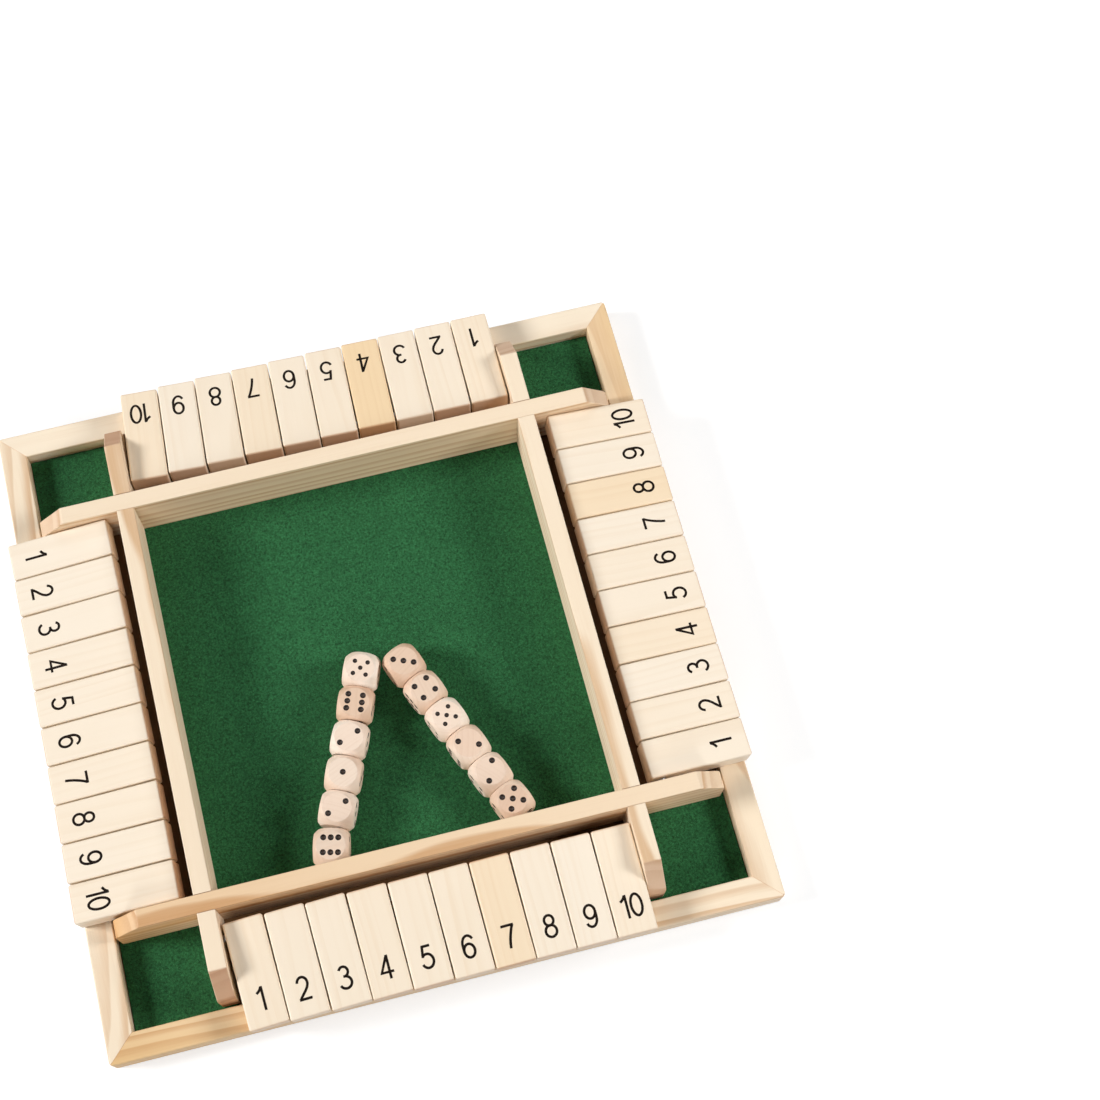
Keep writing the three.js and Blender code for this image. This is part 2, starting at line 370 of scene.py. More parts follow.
@dataclass(frozen=True)
class Plywood(Finish):
    """Three-ply board: rotary-cut veneers, whose edges show the middle ply turned across."""

    name: str = "plywood_three_ply"
    # Both colours are dark brown: partly the board's own colour, partly painted shade for the deep
    # narrow gaps beside the tiles where the board shows
    face: str = "8e663c"
    middle: str = "6e4d2f"
    ply: float = TraySizes.board_thickness / 3
    # How many features a metre holds along X, Y and Z
    bands: Triple = (9, 85, 85)  # the wide, wavy figure of a peeled veneer, 12 mm apart
    fibres: Triple = (40, 1500, 1500)

    def _surface(self, tree: bpy.types.NodeTree) -> bpy.types.Node:
        """Draws the veneer's figure on Object coordinates, and parts the plies by height."""
        place = add_node(tree, "TexCoord").outputs["Object"]
        wide = add_node(tree, "Mapping", {"Vector": place, "Scale": self.bands})
        wavy = {"Vector": wide, "Scale": 1.0, "Detail": 4.0, "Distortion": 0.6}
        bands = add_node(tree, "TexNoise", wavy)
        fine = add_node(tree, "Mapping", {"Vector": place, "Scale": self.fibres})
        fibres = add_node(tree, "TexNoise", {"Vector": fine, "Scale": 1.0, "Detail": 2.0})
        figure = add_node(tree, "Math", {0: bands, 1: fibres}, operation="MULTIPLY")
        face = {0: figure, 6: linear(self.face), 7: linear(self.middle)}
        veneer = add_node(tree, "Mix", face, data_type="RGBA")
        height = add_node(tree, "SeparateXYZ", {0: place}).outputs["Z"]
        layer = add_node(tree, "Math", {0: height, 1: self.ply * MM}, operation="DIVIDE")
        # The middle ply goes from 1 to 2 plies up, less a little for the glue lines
        middle = add_node(tree, "Math", {0: layer, 1: 1.5, 2: 0.46}, operation="COMPARE")
        plies = {0: middle, 6: veneer, 7: linear(self.middle)}
        relief = {"Strength": 0.3, "Distance": 0.05 * MM, "Height": fibres}
        return add_node(
            tree,
            "BsdfPrincipled",
            {
                "Base Color": add_node(tree, "Mix", plies, data_type="RGBA"),
                "Roughness": 0.62,
                "IOR": 1.5,
                "Normal": add_node(tree, "Bump", relief),
            },
        )


@dataclass(frozen=True)
class NeedleFelt(Finish):
    """Pressed needle felt: short tangled fibres that scatter light and catch it at the edges."""

    name: str = "felt_needled_green"
    deep: str = "163e22"
    lit: str = "3c8c54"
    fleck: str = "4f9a62"
    sheen: str = "9fd0a8"

    def _surface(self, tree: bpy.types.NodeTree) -> bpy.types.Node:
        """Tangles clumps and fibres on Object coordinates."""
        place = add_node(tree, "TexCoord").outputs["Object"]
        # Clumps of fibre about 1.2 mm across, and single fibres drawn at 0.4 mm so they show
        clumped = {"Vector": place, "Scale": 900.0, "Detail": 3.0, "Roughness": 0.7}
        clumps = add_node(tree, "TexNoise", clumped)
        tangled = {**clumped, "Scale": 2400.0, "Detail": 2.0, "Distortion": 1.5}
        fibres = add_node(tree, "TexNoise", tangled)
        # Thick and thin places of the web, 15 to 30 mm across
        cloud = add_node(tree, "TexNoise", {"Vector": place, "Scale": 45.0, "Detail": 3.0})
        web = add_node(tree, "MapRange", {"Value": cloud, "To Min": 0.35, "To Max": 0.65})
        spread = add_node(
            tree, "MapRange", {"Value": clumps, "From Min": 0.36, "From Max": 0.64}
        )
        mottled = add_node(tree, "Math", {0: web, 1: spread}, operation="MULTIPLY")
        ground = {0: mottled, 6: linear(self.deep), 7: linear(self.lit)}
        body = add_node(tree, "Mix", ground, data_type="RGBA")
        sparse = add_node(
            tree, "MapRange", {"Value": fibres, "From Min": 0.56, "From Max": 0.72}
        )
        flecked = {0: sparse, 6: body, 7: linear(self.fleck)}
        nap = add_node(tree, "Math", {0: clumps, 1: fibres}, operation="ADD")
        relief = {"Strength": 0.7, "Distance": 0.25 * MM, "Height": nap}
        return add_node(
            tree,
            "BsdfPrincipled",
            {
                "Base Color": add_node(tree, "Mix", flecked, data_type="RGBA"),
                "Roughness": 0.95,
                "Specular IOR Level": 0.15,
                "Sheen Weight": 0.12,
                "Sheen Roughness": 0.6,
                "Sheen Tint": linear(self.sheen),
                "Normal": add_node(tree, "Bump", relief),
            },
        )


@dataclass(frozen=True)
class DrawnSteel(Finish):
    """Bright drawn steel wire: a mirror drawn out into fine lines along the rod."""

    name: str = "steel_drawn_bright"
    colour: str = "c6c8cb"
    marks: Triple = (60, 4000, 4000)  # how many a metre holds, along the rod and across it

    def _surface(self, tree: bpy.types.NodeTree) -> bpy.types.Node:
        """Roughens the steel in lines along the grain attribute."""
        along = add_node(tree, "Attribute", attribute_name=Channel.GRAIN.value).outputs["Vector"]
        lines = add_node(tree, "VectorMath", {0: along, 1: self.marks}, operation="MULTIPLY")
        noise = add_node(tree, "TexNoise", {"Vector": lines, "Scale": 1.0, "Detail": 2.0})
        rough = add_node(tree, "MapRange", {"Value": noise, "To Min": 0.2, "To Max": 0.42})
        metal = {"Base Color": linear(self.colour), "Metallic": 1.0, "Roughness": rough}
        return add_node(tree, "BsdfPrincipled", metal)


@dataclass(frozen=True)
class Ink(Finish):
    """Black ink that has soaked into sanded wood: dull, with the wood's pores showing through."""

    black: str = "20150e"
    thin: str = "46301f"
    roughness: float = 0.7

    def _surface(self, tree: bpy.types.NodeTree) -> bpy.types.Node:
        """Thins the ink in places on Object coordinates."""
        place = add_node(tree, "TexCoord").outputs["Object"]
        # Thin places about 0.6 mm across, where the wood shows through
        noise = add_node(tree, "TexNoise", {"Vector": place, "Scale": 1600.0, "Detail": 2.0})
        worn = add_node(tree, "MapRange", {"Value": noise, "From Min": 0.5, "From Max": 0.75})
        shades = {0: worn, 6: linear(self.black), 7: linear(self.thin)}
        colour = add_node(tree, "Mix", shades, data_type="RGBA")
        dull = {"Base Color": colour, "Roughness": self.roughness, "IOR": 1.35}
        return add_node(tree, "BsdfPrincipled", dull)


@dataclass(frozen=True)
class StudioPaper(Finish):
    """Matt white paper sweep: the camera sees it white, and the object still shades it."""

    name: str = "paper_matt_white"
    colour: str = "c8c8c8"
    glow: float = 0.55
    sweep: tuple[float, float] = (0.5, 1.7)  # from where to where it rises to the sky's white

    def _surface(self, tree: bpy.types.NodeTree) -> bpy.types.Node:
        """Lights the paper from within, where it is seen directly."""
        seen = add_node(tree, "LightPath")
        direct = seen.outputs["Is Camera Ray"]
        for ray in ("Is Glossy Ray", "Is Transmission Ray"):
            direct = add_node(
                tree, "Math", {0: direct, 1: seen.outputs[ray]}, operation="MAXIMUM"
            )
        place = add_node(tree, "TexCoord").outputs["Object"]
        # The paper's tooth, about 2 mm across
        tooth = add_node(tree, "TexNoise", {"Vector": place, "Scale": 500.0, "Detail": 2.0})
        bump = add_node(tree, "Bump", {"Strength": 0.05, "Distance": 0.05 * MM, "Height": tooth})
        paper = add_node(tree, "BsdfDiffuse", {"Color": linear(self.colour), "Normal": bump})
        # The lamps hardly reach the far paper, which glows up to the sky's own white instead
        rising = {
            "Value": add_node(tree, "VectorMath", {0: place}, operation="LENGTH"),
            "From Min": self.sweep[0],
            "From Max": self.sweep[1],
            "To Min": self.glow,
            "To Max": 1.0,
        }
        level = add_node(tree, "MapRange", rising)
        strength = add_node(tree, "Math", {0: direct, 1: level}, operation="MULTIPLY")
        glow = add_node(tree, "Emission", {"Color": linear(WHITE), "Strength": strength})
        return add_node(tree, "AddShader", {0: paper, 1: glow})


def made(finish: Finish) -> Any:
    """Declares a field that holds a finish's material, made when its owner is."""
    return field(default_factory=finish.make)


@dataclass
class Finishes:
    """Every finish of the game, made once."""

    pine: bpy.types.Material = made(
        SolidWood(
            name="pine_planed",
            pale="f9ead3",
            late="cfa06c",
            tan="ecd2a8",
            end="e6cbb4",
            ring_spacing=4.0,
            ring_strength=0.6,
            streak_strength=0.35,
            fibre_strength=0.3,
            blotch_strength=0.2,
            roughness=0.55,
        )
    )
    lattice_pine: bpy.types.Material = made(
        SolidWood(
            name="pine_planed_quartered",
            pale="f9e7cd",
            late="c99352",
            tan="eccb9e",
            end="c8a58d",
            ring_spacing=5.0,
            ring_strength=0.68,
            streak_strength=0.3,
            fibre_strength=0.25,
            blotch_strength=0.15,
            roughness=0.55,
        )
    )
    basswood: bpy.types.Material = made(
        SolidWood(
            name="basswood_sanded",
            pale="f9ebd7",
            late="e6cba8",
            tan="fae5c0",
            end="d2af98",
            ring_spacing=3.4,
            ring_strength=0.2,
            streak_strength=0.22,
            fibre_strength=0.15,
            blotch_strength=0.25,
            roughness=0.5,
        )
    )
    beech: bpy.types.Material = made(
        SolidWood(
            name="beech_tumbled",
            pale="fbecdc",
            late="e5ccb4",
            tan="ebd9cb",
            end="eed3c0",
            ring_spacing=1.8,
            ring_strength=0.3,
            streak_strength=0.3,
            fibre_strength=0.35,
            blotch_strength=0.3,
            roughness=0.45,
            relief=0.04,
        )
    )
    plywood: bpy.types.Material = made(Plywood())
    felt: bpy.types.Material = made(NeedleFelt())
    steel: bpy.types.Material = made(DrawnSteel())
    print_ink: bpy.types.Material = made(Ink("ink_printed_black"))
    pip_paint: bpy.types.Material = made(Ink("ink_pip_black", "1d1614", "4a3a33", 0.4))
    # The paler paint in the bottom middle of each pip
    thin_paint: bpy.types.Material = made(Ink("ink_pip_pale_middle", "44362f", "6a574a", 0.45))
    paper: bpy.types.Material = made(StudioPaper())


@dataclass
class Grain:
    """How the wood of one piece was sawn: where its pith runs, and how dark the board is.

    Attributes:
        pith: how far the pith lies from the piece's middle, across and down, in millimetres.
        slant: how much the pith rises or strays for each millimetre along the piece.
        start: where along the trunk the piece begins, so that no two pieces are alike.
        tone: 0 for the palest wood and 1 for the darkest.
        end_shade: how much darker the wood is where it is cut across the grain.
        side_tone: painted shade, how much darker and warmer its sides are than its top face.
        end_tones: how much darker its left and right ends are than its middle.
        face_depth: how far the tone of its upper face reaches down, in millimetres.
        end_fade: the power by which the tone of an end falls off towards the middle.
    """

    PITH_DISTANCES: ClassVar[tuple[float, float]] = (35, 95)
    SLANTS: ClassVar[tuple[float, float]] = (-0.03, 0.03)
    TRUNK_LENGTH: ClassVar[float] = 4000

    pith: tuple[float, float] = (0, 60)
    slant: tuple[float, float] = (0, 0)
    start: float = 0
    tone: float = 0
    end_shade: float = 0.8
    side_tone: float = 0
    end_tones: tuple[float, float] = (0, 0)
    face_depth: float = 0.4
    end_fade: float = 6

    def write(self, mesh: bmesh.types.BMesh, lengthwise: Vector = Vector((1, 0, 0))) -> None:
        """Writes the grain, the tone and the end grain to a mesh before it is placed.

        Args:
            mesh: the piece, with its middle near the origin.
            lengthwise: which way the grain runs in it.
        """
        grain = mesh.verts.layers.float_vector.new(Channel.GRAIN.value)
        tone = mesh.verts.layers.float.new(Channel.TONE.value)
        across = mesh.faces.layers.float.new(Channel.CUT_ACROSS.value)
        to_grain = lengthwise.rotation_difference(Vector((1, 0, 0)))
        reach = max(abs(vert.co.x) for vert in mesh.verts)
        under_face = max(vert.co.z for vert in mesh.verts) - self.face_depth * MM
        for vert in mesh.verts:
            place = to_grain @ vert.co
            aside = self.pith[0] * MM + self.slant[0] * place.x
            down = self.pith[1] * MM + self.slant[1] * place.x
            vert[grain] = (place.x + self.start * MM, place.y + aside, place.z + down)
            # Below the upper face the sides get painted shade: a darker, warmer tone in place of
            # the shade and bounced light on them
            side = self.side_tone if vert.co.z < under_face else 0.0
            end = self.end_tones[vert.co.x > 0] * (vert.co.x / reach) ** self.end_fade
            vert[tone] = min(1.0, self.tone + side + end)
        mesh.normal_update()
        # A cut at 45 degrees already shows the open pores in full
        for face in mesh.faces:
            face[across] = self.end_shade * min(1.0, 2 * face.normal.dot(lengthwise) ** 2)

    @classmethod
    def any_board(cls, chance: random.Random, tone: float, end_shade: float = 0.8) -> "Grain":
        """Picks a board from anywhere in the trunk.

        Args:
            chance: the seeded source of numbers.
            tone: how dark the board is.
            end_shade: how much darker its end grain is.

        Returns:
            The grain of a piece of that board.
        """
        bearing = chance.uniform(0, 2 * math.pi)
        far = chance.uniform(*cls.PITH_DISTANCES)
        return cls(
            pith=(far * math.cos(bearing), far * math.sin(bearing)),
            slant=(chance.uniform(*cls.SLANTS), chance.uniform(*cls.SLANTS)),
            start=chance.uniform(0, cls.TRUNK_LENGTH),
            tone=tone,
            end_shade=end_shade,
        )


def to_object(
    shape: bmesh.types.BMesh, name: str, materials: Iterable[bpy.types.Material | None]
) -> bpy.types.Object:
    """Makes an object of a shape and puts it in the scene.

    Args:
        shape: the mesh, in metres. It is used up.
        name: the object's name.
        materials: its finishes, by the index that its faces have.

    Returns:
        The object.
    """
    mesh = bpy.data.meshes.new(name)
    shape.to_mesh(mesh)
    shape.free()
    for material in materials:
        mesh.materials.append(material)
    thing = bpy.data.objects.new(name, mesh)
    bpy.context.scene.collection.objects.link(thing)
    return thing


class Workshop:
    """Cuts and eases bare meshes, and turns them into finished pieces."""

    @staticmethod
    def carve(body: bmesh.types.BMesh, cutter: bmesh.types.BMesh) -> bmesh.types.BMesh:
        """Cuts one closed shape out of another.

        Args:
            body: the shape that is cut. It is used up.
            cutter: the shape that is taken away. It is used up.

        Returns:
            What is left of the body.
        """
        # The solver keeps the index of a face's finish only where there is a slot for it
        slots = [None] * len(DieFinish)
        kept, tool = to_object(body, "kept", slots), to_object(cutter, "tool", slots)
        cut = kept.modifiers.new("cut", "BOOLEAN")
        cut.operation = "DIFFERENCE"
        cut.solver = "EXACT"
        cut.object = tool
        tool.hide_render = True
        shaped = kept.evaluated_get(bpy.context.evaluated_depsgraph_get())
        result = bmesh.new()
        result.from_mesh(shaped.data)
        for rough in (kept, tool):
            mesh = rough.data
            bpy.data.objects.remove(rough)
            bpy.data.meshes.remove(mesh)
        return result

    @staticmethod
    def ease(
        shape: bmesh.types.BMesh,
        width: float,
        segments: int,
        which: Callable[[bmesh.types.BMEdge], bool] = lambda edge: True,
    ) -> None:
        """Rounds off edges of a shape.

        Args:
            shape: the mesh.
            width: how far the rounding reaches on each side, in millimetres.
            segments: how many facets it has.
            which: picks the edges.
        """
        bmesh.ops.bevel(
            shape,
            geom=[edge for edge in shape.edges if which(edge)],
            offset=width * MM,
            segments=segments,
            profile=0.5,
            affect="EDGES",
            material=-1,
            clamp_overlap=True,
        )

    @staticmethod
    def slice_off(
        shape: bmesh.types.BMesh, foot: Vector, out: Vector, near: float = 0.0001
    ) -> None:
        """Takes off what lies beyond a plane, and closes the cut.

        Args:
            shape: the mesh.
            foot: a point of the plane, in metres.
            out: the way out of the plane, to what is taken off.
            near: how close to the plane a corner counts as on it, in millimetres.
        """
        cut = bmesh.ops.bisect_plane(
            shape,
            geom=[*shape.verts, *shape.edges, *shape.faces],
            dist=near * MM,
            plane_co=foot,
            plane_no=out,
            clear_outer=True,
        )
        rims = [edge for edge in cut["geom_cut"] if isinstance(edge, bmesh.types.BMEdge)]
        bmesh.ops.holes_fill(shape, edges=rims, sides=0)

    @staticmethod
    def is_crease(edge: bmesh.types.BMEdge) -> bool:
        """Whether two faces meet sharply at an edge."""
        return edge.calc_face_angle(0) > CREASE

    @staticmethod
    def block(low: Sequence[float], high: Sequence[float]) -> bmesh.types.BMesh:
        """Makes a plain block between two corners, in millimetres, as the start of a shape."""
        shape = bmesh.new()
        bmesh.ops.create_cube(shape, size=1)
        size = [(high[i] - low[i]) * MM for i in range(3)]
        middle = [(high[i] + low[i]) / 2 * MM for i in range(3)]
        bmesh.ops.scale(shape, vec=size, verts=shape.verts)
        bmesh.ops.translate(shape, vec=middle, verts=shape.verts)
        return shape

    @staticmethod
    def bar(radius: float, length: float, sides: int) -> bmesh.types.BMesh:
        """Makes a round bar along X with its middle at the origin, in millimetres."""
        shape = bmesh.new()
        bmesh.ops.create_cone(
            shape,
            cap_ends=True,
            segments=sides,
            radius1=radius * MM,
            radius2=radius * MM,
            depth=length * MM,
            matrix=Matrix.Rotation(math.pi / 2, 4, "Y"),
        )
        return shape

    @staticmethod
    def finish(
        shape: bmesh.types.BMesh,
        name: str,
        place: Matrix,
        materials: Iterable[bpy.types.Material],
        slot: str,
        body: str = "tray",
        stands_for: Sequence[str] = (),
        soft_angle: float = 50,
    ) -> bpy.types.Object:
        """Puts a shape in its place and makes it a piece of the object.

        Args:
            shape: the mesh, in metres. It is used up.
            name: the piece's name.
            place: where it goes.
            materials: its finishes, by the index that its faces have.
            slot: not used.
            body: the CAD body that it rides on.
            stands_for: the CAD nodes that it replaces.
            soft_angle: edges under this angle are shaded round, in degrees.

        Returns:
            The piece.
        """
        shape.transform(place)
        for face in shape.faces:
            face.smooth = True
        piece = to_object(shape, name, materials)
        piece.data.set_sharp_from_angle(angle=math.radians(soft_angle))
        even = piece.modifiers.new("even_shading", "WEIGHTED_NORMAL")
        even.keep_sharp = True
        even.weight = FLAT_WEIGHT
        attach(piece, body)
        if stands_for:
            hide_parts(*stands_for)
        LOG.info("made %s on %s with %d faces", name, body, len(piece.data.polygons))
        return piece


@dataclass
class Assembly:
    """A part of the game, built to the shared sizes with the shared tools and finishes."""

    sizes: TraySizes
    workshop: Workshop
    finishes: Finishes


@dataclass
class OuterFrame(Assembly):
    """Four pine rails, mitred at the corners and rebated underneath for the base board."""

    inner_ease: float = 0.5
    mitre_line: float = 0.14  # the fine groove that glued mitres show
    mitre_slant: float = 0.7  # just under the sine of 45 degrees
    facet_corners: int = 8  # the most that a facet has; a mitre has more
    # A board's sixth value is the painted shade on its sides
    boards: dict[Side, Grain] = field(
        default_factory=lambda: {
            # Sawn beside the pith, so its top shows long tan lines near the front left corner
            Side.FRONT: Grain((17, 12), (0.015, 0.02), 300, 0.12, 0.8, 0.1, (1.1, 0.0)),
            Side.RIGHT: Grain((12, 44), (0.01, -0.03), 1100, 0.15, 0.8, 0.0, (0.0, 0.7)),
            Side.BACK: Grain((3, 59.3), (0.0, 0.0), 1900, 0.05),
            Side.LEFT: Grain((20, 52), (-0.02, 0.04), 2700, 0.15),
        }
    )

    def build(self) -> list[bpy.types.Object]:
        """Builds the four rails in their places."""
        return [self._rail(side) for side in Side]

    def _ring(self) -> bmesh.types.BMesh:
        """Makes the whole ring of the frame, before it is parted at the mitres."""
        s = self.sizes
        half, inner, top = s.frame_side / 2, s.frame_inner, s.frame_height
        ring = self.workshop.block((-half, -half, 0), (half, half, top))
        self.workshop.ease(ring, s.frame_corner_radius, segments=5, which=self._is_upright)
        self.workshop.ease(ring, s.frame_ease, segments=3, which=self._is_level)
        window = self.workshop.block((-inner, -inner, -PAST), (inner, inner, top + PAST))
        ring = self.workshop.carve(ring, window)
        wide = inner + s.rebate_width
        rebate = self.workshop.block((-wide, -wide, -PAST), (wide, wide, s.board_thickness))
        ring = self.workshop.carve(ring, rebate)
        self.workshop.ease(ring, self.inner_ease, segments=3, which=self._is_inner_rim)
        return ring

    @staticmethod
    def _is_level(edge: bmesh.types.BMEdge) -> bool:
        """Whether both ends of an edge are at one height."""
        return abs(edge.verts[0].co.z - edge.verts[1].co.z) < TOUCH * MM

    def _is_upright(self, edge: bmesh.types.BMEdge) -> bool:
        """Whether an edge of the bare block goes from the bottom to the top."""
        return not self._is_level(edge)

    def _is_inner_rim(self, edge: bmesh.types.BMEdge) -> bool:
        """Whether an edge goes round the top of the frame's window."""
        s = self.sizes
        return all(
            vert.co.z > (s.frame_height - TOUCH) * MM
            and max(abs(vert.co.x), abs(vert.co.y)) < (s.frame_inner + TOUCH) * MM
            for vert in edge.verts
        )

    def _is_mitre(self, face: bmesh.types.BMFace) -> bool:
        """Whether a face is a rail's cut end, not a facet of a rounded corner."""
        slanting = min(abs(face.normal.x), abs(face.normal.y)) > self.mitre_slant
        return slanting and len(face.verts) > self.facet_corners

    def _rail(self, side: Side) -> bpy.types.Object:
        """Parts one rail from the ring, as it lies at the front.

        Args:
            side: where the rail goes.

        Returns:
            The finished rail.
        """
        rail = self._ring()
        for lean in (1, -1):
            self.workshop.slice_off(rail, Vector(), Vector((lean, 1, 0)).normalized())
        rail.normal_update()
        self.workshop.ease(
            rail,
            self.mitre_line,
            segments=1,
            which=lambda edge: sum(self._is_mitre(face) for face in edge.link_faces) == 1,
        )
        reach = (self.sizes.frame_side - self.sizes.frame_rail_width) / 2 * MM
        middle = Matrix.Translation((0, -reach, self.sizes.frame_height / 2 * MM))
        rail.transform(middle.inverted())
        self.boards[side].write(rail)
        return self.workshop.finish(
            rail,
            f"frame_rail_{side.label}",
            side.turn @ middle,
            [self.finishes.pine],
            "pine",
            stands_for=["outer_frame"],
        )


@dataclass
class InnerLattice(Assembly):
    """Four pine rails, halved over one another, with sloping ends and holes for the rods."""

    ease: float = 0.45
    joint_gap: float = 0.12  # the fine line round a halved joint
    tight_gap: float = 0.02  # the same on the rails on top, where it lies underneath
    hole_gap: float = 0.1  # round a rod and past its end
    # How far each rod lies outwards of its place, as a share of the sizes' rod_stray
    strays: dict[Side, float] = field(
        default_factory=lambda: {
            Side.FRONT: -0.7,
            Side.RIGHT: -0.3,
            Side.BACK: 0.7,
            Side.LEFT: -0.2,
        }
    )
    # A board's sixth value is the painted shade on its sides
    boards: dict[Side, Grain] = field(
        default_factory=lambda: {
            Side.FRONT: Grain((9, 52), (0.0, 0.006), 500, 0.1, 0.1, 0.1, (0.9, 0.2)),
            Side.RIGHT: Grain((-7, 52), (-0.002, 0.004), 2950, 0.04, 0.7),
            # Sawn across the rings, so the inside of the back wall shows level lines
            Side.BACK: Grain((6, 52.5), (0.0, 0.0), 2100, 0.12, 0.4, 0.2),
            Side.LEFT: Grain((-7, 52), (-0.002, 0.004), 2900, 0.08, 1.0),
        }
    )

    def build(self) -> list[bpy.types.Object]:
        """Builds the four rails in their places."""
        return [self._rail(side) for side in Side]

    def rod_reach(self, side: Side) -> float:
        """How far a side's rod lies from the middle of the tray, in millimetres."""
        s = self.sizes
        outer = s.lattice_inner + s.lattice_rail_width
        return outer + s.rod_standoff + s.rod_stray * self.strays[side]

    def _bare_rail(self) -> bmesh.types.BMesh:
        """Makes a rail along X, round the middle of its width, with its ends sloped."""
        s = self.sizes
        half = s.lattice_rail_width / 2
        rail = self.workshop.block(
            (-s.lattice_end, -half, s.felt_top), (s.lattice_end, half, s.lattice_height)
        )
        for end in (1, -1):
            slope = Vector((end * s.slope_drop, 0, s.slope_run)).normalized()
            foot = Vector((end * s.lattice_end, 0, s.lattice_height - s.slope_drop)) * MM
            self.workshop.slice_off(rail, foot, slope)
        steepness = math.pi / 2 - math.atan2(s.slope_drop, s.slope_run)
        nose_reach = s.nose_radius * math.tan(steepness / 2)
        self.workshop.ease(rail, nose_reach, segments=6, which=self._is_nose)
        return rail

    def _is_nose(self, edge: bmesh.types.BMEdge) -> bool:
        """Whether an edge of a bare rail lies at the foot of an end's slope."""
        return all(
            abs(abs(vert.co.x) - self.sizes.lattice_end * MM) < TOUCH * MM
            and vert.co.z > self.waist * MM
            for vert in edge.verts
        )

    @property
    def waist(self) -> float:
        """The height at which crossing rails meet, halfway up."""
        return (self.sizes.felt_top + self.sizes.lattice_height) / 2

    def _rail(self, side: Side) -> bpy.types.Object:
        """Builds one rail as it lies at the front, halved where the others cross it.

        The front and back rails run through on top, and the left and right ones underneath.

        Args:
            side: where the rail goes.

        Returns:
            The finished rail.
        """
        s = self.sizes
        rail = self._bare_rail()
        self.workshop.ease(rail, self.ease, segments=2, which=self.workshop.is_crease)
        half, crossing = s.lattice_rail_width / 2, s.lattice_inner + s.lattice_rail_width / 2
        on_top = side in (Side.FRONT, Side.BACK)
        gap = half + (self.tight_gap if on_top else self.joint_gap)
        low, high = (0, self.waist) if on_top else (self.waist, s.lattice_height + PAST)
        deep = half + PAST
        for end in (1, -1):
            notch = self.workshop.block(
                (end * crossing - gap, -deep, low), (end * crossing + gap, deep, high)
            )
            rail = self.workshop.carve(rail, notch)
        for end in (1, -1):
            rail = self.workshop.carve(rail, self._rod_hole(side, end))
        middle = Matrix.Translation((0, 0, self.waist * MM))
        rail.transform(middle.inverted())
        self.boards[side].write(rail)
        place = side.turn @ Matrix.Translation((0, -crossing * MM, 0)) @ middle
        return self.workshop.finish(
            rail,
            f"lattice_rail_{side.label}",
            place,
            [self.finishes.lattice_pine],
            "pine",
            stands_for=["inner_lattice"],
        )

    def _rod_hole(self, side: Side, end: int) -> bmesh.types.BMesh:
        """Makes the cutter for the blind hole that takes a rod near one end of a rail.

        Args:
            side: where the rail goes.
            end: 1 for its right end as it lies at the front, or -1 for its left end.

        Returns:
            A bar that goes into the rail from the side that faces the tiles.
        """
        s = self.sizes
        neighbour = Side((side.value + end) % len(Side))
        radius, depth = s.rod_diameter / 2 + self.hole_gap, s.rod_bite + self.hole_gap
        hole = self.workshop.bar(radius, 2 * depth, sides=24)
        upright = Matrix.Rotation(math.pi / 2, 4, "Z")
        inside = s.lattice_rail_width / 2
        place = Vector((end * self.rod_reach(neighbour), inside, s.rod_height)) * MM
        hole.transform(Matrix.Translation(place) @ upright)
        return hole


@dataclass
class FeltFloor(Assembly):
    """One sheet of green needle felt, glued to the board under the lattice.

    The photograph shows bare wood beside the rows of tiles, so the felt is cut away under them.
    """

    ease: float = 0.3
    glue: float = 0.02
    tucked: float = 1.0  # how far the felt's cut edges lie back under the lattice

    def build(self) -> bpy.types.Object:
        s = self.sizes
        half = s.frame_inner - s.felt_edge_gap
        foot = s.board_thickness + self.glue
        sheet = self.workshop.block((-half, -half, foot), (half, half, s.felt_top))
        wide = s.lattice_inner + self.tucked
        near = s.lattice_inner + s.lattice_rail_width - self.tucked
        for side in Side:
            row = self.workshop.block((-wide, -half - PAST, 0), (wide, -near, s.felt_top + PAST))
            row.transform(side.turn)
            sheet = self.workshop.carve(sheet, row)
        self.workshop.ease(sheet, self.ease, segments=2, which=self.workshop.is_crease)
        felt = self.workshop.finish(
            sheet,
            "felt_floor",
            Matrix.Identity(4),
            [self.finishes.felt],
            "felt",
            stands_for=["felt"],
        )
        side = 2 * half * MM
        return felt


@dataclass(frozen=True)
class Arc:
    """A part of an ellipse in a numeral, in shares of its width and height.

    Attributes:
        middle: the ellipse's middle.
        reach: how far it goes sideways and upwards.
        span: the angles that it goes from and to, in degrees.
    """

    STEP: ClassVar[float] = 12

    middle: tuple[float, float]
    reach: tuple[float, float]
    span: tuple[float, float]

    def points(self) -> list[tuple[float, float]]:
        """The arc as points about 12 degrees apart."""
        start, turn = self.span[0], self.span[1] - self.span[0]
        steps = max(2, round(abs(turn) / self.STEP))
        angles = [math.radians(start + turn * i / steps) for i in range(steps + 1)]
        (x, y), (wide, high) = self.middle, self.reach
        return [(x + wide * math.cos(angle), y + high * math.sin(angle)) for angle in angles]


Stroke = list[Arc | tuple[float, float]]


